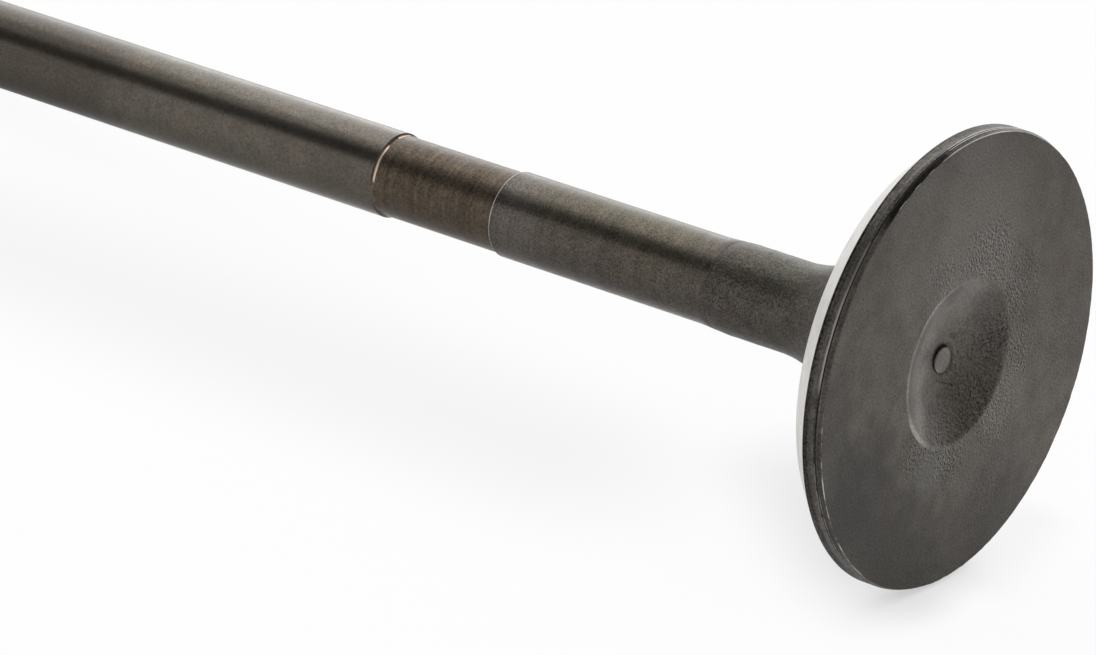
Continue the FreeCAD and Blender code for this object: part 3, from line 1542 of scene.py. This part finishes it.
FINISHES: dict[Zone, SteelFinish] = {
    Zone.SPOT: SteelFinish(
        light_film=(0.195, 0.180, 0.166),
        dark_film=(0.165, 0.152, 0.140),
        roughness=0.42,
        grain_depth=0.006,
        grain_tone=0.5,
    ),
    # The spot's wall is nearly black: painted shade where the spot shades its own foot in the dish
    Zone.SPOT_WALL: SteelFinish(
        light_film=(0.018, 0.016, 0.015),
        dark_film=(0.011, 0.010, 0.009),
        roughness=0.7,
        grain_depth=0.004,
        grain_tone=0.3,
    ),
    Zone.DISH: SteelFinish(
        light_film=(0.117, 0.106, 0.092),
        dark_film=(0.098, 0.089, 0.078),
        tint_amount=0.12,
        roughness=0.36,
        grain_scale=4600.0,
        grain_depth=0.006,
        grain_tone=0.6,
        pit_scale=2900.0,
        pit_cover=0.1,
        pit_tone=0.35,
        pit_depth=0.03,
        relief_scale=3800.0,
        relief_painted_light=3.9,
        relief_depth=0.02,
        pit_fields=(
            PitField((-1.0, -6.0, 0.8), 7.0, 0.35),
            PitField((3.4, 5.6, 0.9), 4.8, 0.9),
            PitField((-3.2, 5.4, 0.9), 4.8, 0.9),
            PitField((-6.0, 1.4, 0.5), 4.0, 0.9),
            PitField((0.0, 2.0, 1.9), 5.5, 0.45),
        ),
        stains_and_painted_light=(
            # Painted highlight on the dish's wall at -Y, which faces the light, and along its lip
            # there
            StainAndPaintedLight((2.0, -5.3, 0.8), 4.4, (0.320, 0.295, 0.271), 0.85),
            StainAndPaintedLight((-2.5, -5.0, 0.9), 4.2, (0.335, 0.309, 0.285), 0.85),
            StainAndPaintedLight((-0.3, -7.2, 0.2), 1.7, (0.170, 0.156, 0.143), 0.7),
            # Lighter on the dish's wall at +X and at -X
            StainAndPaintedLight((6.0, -1.2, 0.5), 4.6, (0.155, 0.140, 0.128), 0.8),
            StainAndPaintedLight((-5.6, 0.3, 0.6), 4.4, (0.165, 0.150, 0.135), 0.8),
            # Painted highlight on the dish's lip at -X, together with film rubbed off the lip
            StainAndPaintedLight((-6.5, -3.0, 0.2), 3.1, (0.340, 0.315, 0.288), 0.9),
            StainAndPaintedLight((-5.4, -2.8, 0.9), 2.4, (0.270, 0.250, 0.230), 0.7),
            StainAndPaintedLight((-6.6, 0.8, 0.3), 2.6, (0.210, 0.193, 0.176), 0.7),
            # Painted shade on the dish's wall at +Y, which faces away from the light
            StainAndPaintedLight((5.2, 2.6, 0.8), 3.4, (0.084, 0.076, 0.069), 0.8),
            StainAndPaintedLight((3.2, 5.2, 0.8), 3.2, (0.074, 0.067, 0.061), 0.8),
            # Painted shadow round the foot of the raised spot
            StainAndPaintedLight((-0.3, 0.42, 1.95), 1.8, (0.048, 0.043, 0.038), 0.85, 0.25),
        ),
        scratches=(
            Scratch((-2.19, 0.19, 1.863), (-2.20, 1.3, 1.783), 0.12, 0.5),
            Scratch((-2.20, 1.3, 1.783), (-2.10, 2.46, 1.62), 0.13, 0.65),
            Scratch((-2.10, 2.46, 1.62), (-2.16, 2.60, 1.60), 0.20, 0.9),
        ),
    ),
    Zone.FACE: SteelFinish(
        light_film=(0.132, 0.120, 0.1055),
        dark_film=(0.104, 0.094, 0.083),
        tint_amount=0.10,
        mottle_scale=420.0,
        roughness=0.45,
        grain_scale=4800.0,
        grain_depth=0.004,
        grain_tone=0.5,
        pit_scale=2900.0,
        pit_cover=0.05,
        pit_tone=0.35,
        pit_depth=0.03,
        relief_scale=3800.0,
        relief_painted_light=6.0,
        relief_depth=0.02,
        pit_fields=(
            PitField((9.4, -1.0, 0.0), 5.6, 0.95),
            PitField((7.6, 5.0, 0.0), 5.0, 0.95),
            PitField((2.2, 8.6, 0.0), 4.6, 0.85),
            PitField((-3.6, 8.4, 0.0), 4.4, 0.85),
            PitField((-7.8, 3.2, 0.0), 4.2, 0.95),
            PitField((6.2, -7.0, 0.0), 4.0, 0.55),
            PitField((-8.4, -2.0, 0.0), 3.6, 0.75),
            PitField((5.0, 14.0, 0.0), 7.5, 0.32),
            PitField((-9.5, 10.0, 0.0), 7.0, 0.32),
        ),
        stains_and_painted_light=(
            # Most of these paint the face lighter towards +X and darker towards -X, as a painted
            # reflection of the lit table and of its shade near where the head touches it; the rest
            # are uneven film.
            StainAndPaintedLight((10.0, -4.0, 0.0), 11.5, (0.174, 0.159, 0.144), 0.9),
            StainAndPaintedLight((-18.5, 1.0, 0.0), 10.5, (0.080, 0.073, 0.066), 0.9),
            StainAndPaintedLight((-13.6, -8.6, 0.0), 9.0, (0.064, 0.0595, 0.0555), 0.85),
            StainAndPaintedLight((-14.6, -11.5, 0.0), 5.0, (0.057, 0.0545, 0.0530), 0.4),
            StainAndPaintedLight((-16.0, -3.0, 0.0), 6.0, (0.072, 0.067, 0.062), 0.5),
            StainAndPaintedLight((-9.0, 13.0, 0.0), 7.0, (0.104, 0.095, 0.086), 0.6),
            StainAndPaintedLight((-13.4, -4.2, 0.0), 2.6, (0.094, 0.076, 0.066), 0.5),
            StainAndPaintedLight((10.0, 13.0, 0.0), 5.0, (0.108, 0.090, 0.080), 0.6),
            StainAndPaintedLight((-9.3, 1.0, 0.0), 3.2, (0.136, 0.134, 0.129), 0.7),
            StainAndPaintedLight((-12.6, 14.0, 0.0), 8.5, (0.073, 0.066, 0.060), 0.8),
            StainAndPaintedLight((4.8, -11.7, 0.0), 5.0, (0.158, 0.144, 0.130), 0.7),
            StainAndPaintedLight((-1.5, 8.8, 0.0), 5.0, (0.160, 0.146, 0.132), 0.7),
            StainAndPaintedLight((-7.0, -17.0, 0.0), 5.0, (0.086, 0.079, 0.072), 0.7),
            StainAndPaintedLight((-11.0, -15.6, 0.0), 4.0, (0.060, 0.056, 0.052), 0.5),
            StainAndPaintedLight((12.0, -15.6, 0.0), 5.0, (0.160, 0.146, 0.132), 0.7),
            StainAndPaintedLight((17.4, -8.6, 0.0), 4.0, (0.165, 0.150, 0.137), 0.7),
            StainAndPaintedLight((5.8, 18.5, 0.0), 4.5, (0.098, 0.089, 0.081), 0.7),
        ),
        # Bright bare colour, which also paints the highlight of the face's edge
        bare_and_glint=(0.86, 0.83, 0.80),
    ),
    Zone.CHAMFER: SteelFinish(
        light_film=(0.120, 0.110, 0.100),
        dark_film=(0.085, 0.078, 0.071),
        tint_amount=0.05,
        roughness=0.40,
        line_depth=0.003,
        line_tone=0.5,
        grain_tone=0.5,
        stains_and_painted_light=(
            # Along the chamfer: darker at about 37° and at -45°, and lighter at about 68°, which is
            # a painted highlight where the edge catches the light.
            StainAndPaintedLight((12.4, -16.2, 0.25), 6.0, (0.020, 0.018, 0.016), 1.0, 0.4),
            StainAndPaintedLight((18.9, -7.6, 0.25), 6.0, (0.150, 0.140, 0.130), 0.8, 0.4),
            StainAndPaintedLight((-14.4, -14.4, 0.25), 9.0, (0.050, 0.046, 0.041), 0.8, 0.4),
        ),
        # Bright bare colour, which also paints the highlight of the chamfer's edge
        bare_and_glint=(0.86, 0.83, 0.80),
    ),
    Zone.LINE: SteelFinish(
        light_film=(0.026, 0.024, 0.022),
        dark_film=(0.016, 0.015, 0.014),
        tint_amount=0.0,
        roughness=0.45,
        line_tone=0.3,
        grain_tone=0.4,
        bare_and_glint=(0.30, 0.28, 0.26),
    ),
    Zone.MARGIN: SteelFinish(
        light_film=(0.063, 0.058, 0.053),
        dark_film=(0.039, 0.036, 0.033),
        tint_amount=0.05,
        roughness=0.42,
        mottle_scale=900.0,
        lines=5500.0,
        line_depth=0.004,
        line_tone=1.25,
        grain_depth=0.004,
        grain_tone=0.8,
        grazing_tint=0.78,
        stains_and_painted_light=(
            # Along the margin: darker from about 67° to 85°, lighter at about 52° and -59°.
            StainAndPaintedLight((-17.5, -10.5, 1.0), 5.5, (0.105, 0.094, 0.086), 0.6),
            StainAndPaintedLight((18.8, -8.0, 1.2), 7.0, (0.041, 0.038, 0.035), 0.7),
            StainAndPaintedLight((20.3, -1.6, 1.0), 3.6, (0.026, 0.024, 0.022), 0.85),
            StainAndPaintedLight((16.2, -12.6, 1.2), 5.5, (0.082, 0.076, 0.070), 0.8),
        ),
        bare_and_glint=(0.36, 0.34, 0.32),
    ),
    Zone.SEAT: SteelFinish(
        light_film=(0.80, 0.79, 0.765),
        dark_film=(0.72, 0.71, 0.685),
        tint=(0.62, 0.58, 0.54),
        roughness=0.55,
        lines=12000.0,
        line_depth=0.0015,
        line_tone=0.12,
    ),
    Zone.BACK: SteelFinish(
        light_film=(0.078, 0.071, 0.063),
        dark_film=(0.056, 0.051, 0.045),
        roughness=0.45,
        grain_scale=3200.0,
        grain_depth=0.010,
        grain_tone=0.8,
        pit_cover=0.3,
        pit_tone=0.3,
        pit_depth=0.02,
    ),
    Zone.NECK: SteelFinish(
        light_film=(0.080, 0.072, 0.064),
        dark_film=(0.058, 0.052, 0.046),
        roughness=0.40,
        grain_scale=6400.0,
        grain_depth=0.007,
        grain_tone=1.0,
        pit_scale=4200.0,
        pit_cover=0.12,
        pit_tone=0.5,
        pit_depth=0.015,
        pit_fields=(PitField((0.0, -4.0, 23.2), 3.4, 0.95), PitField((0.0, 4.0, 23.0), 3.6, 0.8)),
        stains_and_painted_light=(StainAndPaintedLight((3.3, -2.4, 18.0), 6.5, (0.064, 0.060, 0.049), 0.75),),
    ),
    Zone.SHANK: SteelFinish(
        light_film=(0.082, 0.072, 0.063),
        dark_film=(0.064, 0.057, 0.050),
        roughness=0.29,
        lines=3600.0,
        line_depth=0.0012,
        line_tone=0.26,
        grain_scale=6500.0,
        grain_depth=0.0018,
        grain_tone=0.8,
        pit_scale=3600.0,
        pit_cover=0.15,
        pit_tone=0.25,
        stains_and_painted_light=(
            StainAndPaintedLight((0.0, -4.0, 46.0), 7.0, (0.098, 0.087, 0.077), 0.8),
            StainAndPaintedLight((3.2, -2.4, 31.0), 7.5, (0.088, 0.078, 0.057), 0.7),
            StainAndPaintedLight((3.2, -2.4, 40.0), 7.5, (0.088, 0.078, 0.057), 0.7),
        ),
        bare_and_glint=(0.60, 0.57, 0.54),
    ),
    Zone.RELIEF: SteelFinish(
        light_film=(0.077, 0.063, 0.048),
        dark_film=(0.061, 0.050, 0.038),
        tint=(0.121, 0.080, 0.052),
        tint_amount=0.42,
        mottle_scale=1300.0,
        roughness=0.32,
        lines=3400.0,
        line_depth=0.0014,
        line_tone=0.45,
        grain_scale=4200.0,
        grain_depth=0.0018,
        grain_tone=0.6,
        bare_and_glint=(0.86, 0.62, 0.49),
    ),
    Zone.STEM: SteelFinish(
        light_film=(0.111, 0.101, 0.085),
        dark_film=(0.089, 0.080, 0.067),
        tint_amount=0.2,
        mottle_scale=520.0,
        roughness=0.22,
        lines=9000.0,
        line_depth=0.0004,
        line_tone=0.08,
        grain_scale=4500.0,
        grain_depth=0.0006,
        grain_tone=0.45,
        stains_and_painted_light=(
            StainAndPaintedLight((0.0, -1.0, 106.0), 16.0, (0.073, 0.063, 0.052), 0.9, 0.35),
            StainAndPaintedLight((0.0, -3.0, 66.5), 4.5, (0.084, 0.072, 0.059), 0.6),
        ),
        bare_and_glint=(0.80, 0.60, 0.48),
    ),
    Zone.TIP: SteelFinish(
        light_film=(0.30, 0.28, 0.26),
        dark_film=(0.22, 0.20, 0.19),
        roughness=0.35,
        line_depth=0.003,
        line_tone=0.3,
    ),
}


def dress(body: bpy.types.Object, kit: Toolkit) -> None:
    """Gives each zone of the valve its finish."""
    for zone in Zone:
        body.data.materials.append(FINISHES[zone].material(zone.value, kit))


# Studio


@dataclass(frozen=True)
class Pose:
    """How the valve lies on the table in the picture, told in the part's own frame.

    The valve lies on the rim of its head and the edge of its tip. Turn is the angle about the
    axis from -Y towards +X to the radius that points up from the table. Sizes are millimetres.
    """

    turn: float = 65.0
    rim_radius: float = 20.5
    rim_height: float = 1.84
    tip_radius: float = 3.985
    tip_height: float = 123.45

    @property
    def up(self) -> Vector:
        """Unit normal of the table."""
        lean = math.atan2(self.rim_radius - self.tip_radius, self.tip_height - self.rim_height)
        return self._radial * math.cos(lean) - Vector((0, 0, 1)) * math.sin(lean)

    @property
    def contact(self) -> Vector:
        """Point of the rim that touches the table, in metres."""
        return (self._radial * -self.rim_radius + Vector((0, 0, self.rim_height))) * MM

    @property
    def _radial(self) -> Vector:
        """Radius of the valve that points up from the table."""
        turn = math.radians(self.turn)
        return Vector((math.sin(turn), -math.cos(turn), 0.0))


@dataclass(frozen=True)
class Camera:
    """Long lens at the photograph's viewing angle.

    Lens, sensor and place are millimetres, and the clipping distances metres.
    """

    lens: float = 202.7
    sensor: float = 36.0
    clip: Point = (0.01, 20.0)
    place: Place = (0.0, -457.07, -263.50)
    forward: Place = (-0.015745, 0.831879, 0.554734)
    up: Place = (0.949323, -0.161741, 0.269491)

    def build(self) -> None:
        """Makes the camera and sets it as the scene's own."""
        data = bpy.data.cameras.new("photo_camera")
        data.sensor_fit = "HORIZONTAL"
        data.sensor_width = self.sensor
        data.lens = self.lens
        data.clip_start, data.clip_end = self.clip
        camera = bpy.data.objects.new("photo_camera", data)
        back = -Vector(self.forward).normalized()
        side = Vector(self.up).cross(back).normalized()
        turn = Matrix((side, back.cross(side), back)).transposed().to_4x4()
        camera.matrix_world = Matrix.Translation(Vector(self.place) * MM) @ turn
        bpy.context.scene.collection.objects.link(camera)
        bpy.context.scene.camera = camera


@dataclass(frozen=True)
class TableShade:
    """Soft shade on the table along a line, whose ends are told in the part's own frame.

    Sizes are millimetres. A front factor above 0 makes the shade fall off faster in front of
    the combustion face.
    """

    start: Place
    end: Place
    reach: float
    amount: float
    front_factor: float = 0.0


@dataclass
class Studio:
    """White table, white surroundings and one soft light.

    The table glows for the camera, less so where the valve touches it, beside the rim and along
    the stem. Its far part, the room on that side and one narrow gap in the room look dim in the
    steel. Sizes are metres, in the shades millimetres, and the gap's reach is degrees.
    """

    kit: Toolkit
    pose: Pose = Pose()
    table_size: float = 0.9
    floor_size: float = 0.9
    floor_gap: float = 0.00005
    table_white: float = 0.85
    glow: float = 0.99
    glow_share: float = 0.94
    floor_share: float = 0.80
    floor_shade: TableShade = TableShade((0.0, 0.0, -0.1), (0.0, 0.0, 0.1), 34.0, 0.45)
    contact_shade: TableShade = TableShade(
        (-21.0, 4.3, 0.2), (-13.8, 14.2, 16.7), 14.0, 0.44, front_factor=1.6
    )
    touch_shade: TableShade = TableShade((-18.6, 8.7, 1.5), (-16.8, 11.6, 0.5), 3.6, 0.08)
    rim_shade: TableShade = TableShade((-17.2, 12.4, -0.7), (-11.5, 23.6, 2.3), 6.0, 0.07)
    stem_shade: TableShade = TableShade((-17.5, -22.0, 110.0), (-19.1, -3.5, 36.0), 21.0, 0.075)
    far_reach: Point = (0.045, 0.110)
    far_dim: float = 0.45
    room_dim: float = 0.42
    room_heights: Point = (-0.15, 0.42)
    gap: Place = (0.4136, -0.7617, 0.498)
    gap_reach: Point = (9.0, 22.0)
    gap_dim: float = 0.12
    box_target: Place = (0.0, 0.0, 0.05)
    box_towards: Place = (0.804, 0.325, 0.498)
    box_size: Point = (2.3, 0.55)
    box_distance: float = 0.9
    box_energy: float = 4.7

    def build(self) -> None:
        """Builds the table, the floor, the light and the world."""
        table = self._sheet("table", self.table_size, self.pose.contact, self.pose.up)
        shades, dims = (self.contact_shade, self.touch_shade), (self.stem_shade, self.rim_shade)
        self._whiten(table, False, self.glow_share, shades, dims)
        below = Vector((0, 0, -self.floor_gap))
        floor = self._sheet("floor", self.floor_size, below, Vector((0, 0, 1)))
        self._whiten(floor, True, self.floor_share, (self.floor_shade,), ())
        self._softbox()
        self._world()

    @staticmethod
    def _sheet(name: str, size: float, place: Vector, up: Vector) -> bpy.types.Object:
        """Makes a square sheet.

        Args:
            name: Name of the sheet.
            size: Length of its sides.
            place: Its centre.
            up: Normal of its front.

        Returns:
            The linked sheet, still without a material.
        """
        half = size / 2
        mesh = bpy.data.meshes.new(name)
        corners = [(-half, -half, 0), (half, -half, 0), (half, half, 0), (-half, half, 0)]
        mesh.from_pydata(corners, [], [(0, 1, 2, 3)])
        sheet = bpy.data.objects.new(name, mesh)
        turn = up.to_track_quat("Z", "Y").to_matrix().to_4x4()
        sheet.matrix_world = Matrix.Translation(place) @ turn
        bpy.context.scene.collection.objects.link(sheet)
        return sheet

    def _whiten(
        self,
        sheet: bpy.types.Object,
        camera_only: bool,
        glow_share: float,
        shades: tuple[TableShade, ...],
        dims: tuple[TableShade, ...],
    ) -> None:
        """Gives a sheet a white surface, seen from its front only, that keeps the shadow.

        Args:
            sheet: The table or the floor.
            camera_only: Whether only the camera sees it, so that it takes no part in the light.
            glow_share: How much of what the camera sees is glow, away from the shades.
            shades: Where less of what the camera sees is glow, so that the shadow shows.
            dims: Where the glow itself is dimmer.
        """
        local = sheet.matrix_world.inverted()
        material = bpy.data.materials.new(sheet.name + "_white")
        n = Nodes.fresh(material)
        camera = n.add("LightPath").outputs["Is Camera Ray"]
        shown = n.maths("SUBTRACT", 1.0, n.add("NewGeometry").outputs["Backfacing"])
        place = n.add("TexCoord").outputs["Object"]
        away = local.to_3x3() @ Vector((0.0, 0.0, -1.0))
        far = n.vector("DOT_PRODUCT", place, away).outputs["Value"]
        front = n.maths("MAXIMUM", n.maths("SUBTRACT", far, self.pose.rim_height * MM), 0.0)
        share, strength = (
            self._shaded(n, place, local, front, value, taken)
            for value, taken in ((glow_share, shades), (self.glow, dims))
        )
        dim = n.ramp(far, *self.far_reach, 1.0, self.far_dim)
        level = n.maths("MULTIPLY", n.blend(n.mirror_ray(), 1.0, dim), self.table_white)
        tone = n.add("CombineColor", In0=level, In1=level, In2=level).outputs[0]
        plain = n.add("BsdfDiffuse", Color=tone).outputs[0]
        shine = n.add("Emission", Color=opaque(WHITE), Strength=strength).outputs[0]
        lit = n.maths("MULTIPLY", camera, share)
        solid = n.add("MixShader", In0=lit, In1=plain, In2=shine).outputs[0]
        clear = n.add("BsdfTransparent").outputs[0]
        seen = n.maths("MULTIPLY", shown, camera) if camera_only else shown
        both = n.add("MixShader", In0=seen, In1=clear, In2=solid).outputs[0]
        n.add("OutputMaterial", In0=both)
        sheet.data.materials.append(material)

    def _shaded(
        self,
        n: Nodes,
        place: Socket,
        local: Matrix,
        front: Socket,
        value: Amount,
        shades: tuple[TableShade, ...],
    ) -> Amount:
        """Takes soft shades off a value.

        Args:
            n: The sheet's nodes.
            place: Place on the sheet, in its own frame.
            local: Turns the part's frame into the sheet's.
            front: How far the place lies in front of the combustion face.
            value: The value without the shades.
            shades: The shades.

        Returns:
            The value with them.
        """
        for shade in shades:
            line = n.add(
                "Group",
                node_tree=self.kit.line,
                Vector=place,
                Start=local @ (Vector(shade.start) * MM),
                End=local @ (Vector(shade.end) * MM),
                Reach=shade.reach * MM,
                Farther=n.maths("MULTIPLY", front, shade.front_factor),
            )
            taken = n.maths("MULTIPLY", line.outputs["Mask"], shade.amount)
            value = n.maths("SUBTRACT", value, taken)
        return value

    def _softbox(self) -> None:
        """Large soft light above and behind the valve."""
        data = bpy.data.lights.new("softbox", "AREA")
        data.shape = "RECTANGLE"
        data.size, data.size_y = self.box_size
        data.energy = self.box_energy
        lamp = bpy.data.objects.new("softbox", data)
        towards = Vector(self.box_towards).normalized()
        lamp.location = Vector(self.box_target) + towards * self.box_distance
        lamp.rotation_mode = "QUATERNION"
        lamp.rotation_quaternion = towards.to_track_quat("Z", "Y")
        bpy.context.scene.collection.objects.link(lamp)

    def _world(self) -> None:
        """White surroundings, which look dim in the steel on one side and in one narrow gap."""
        world = bpy.data.worlds.new("studio")
        n = Nodes.fresh(world)
        towards = n.add("TexCoord").outputs["Generated"]
        gap = Vector(self.gap).normalized()
        near = n.vector("DOT_PRODUCT", towards, gap).outputs["Value"]
        inner, outer = (math.cos(math.radians(angle)) for angle in self.gap_reach)
        dark = n.ramp(near, outer, inner, 1.0, self.gap_dim)
        height = n.add("SeparateXYZ", In0=towards).outputs[2]
        dim = n.ramp(height, *self.room_heights, self.room_dim, 1.0)
        level = n.blend(n.mirror_ray(), 1.0, n.maths("MULTIPLY", dark, dim))
        light = n.add("Background", Color=opaque(WHITE), Strength=level).outputs[0]
        n.add("OutputWorld", In0=light)
        bpy.context.scene.world = world


def set_view() -> None:
    """Plain view transform, so that a colour renders as it is written."""
    bpy.context.scene.view_settings.view_transform = "Standard"


def main() -> None:
    """Builds the valve, its finishes, the studio and the camera."""
    logging.basicConfig(level=logging.INFO, format="%(name)s: %(message)s")
    set_view()
    kit = Toolkit.build()
    body = ValveBody().build()
    dress(body, kit)
    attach(body, BODY)
    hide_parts(NODE)
    log.info("%s: %d faces", body.name, len(body.data.polygons))
    Studio(kit).build()
    log.info("studio built")
    Camera().build()
    log.info("camera built")


if __name__ == "__main__":
    main()
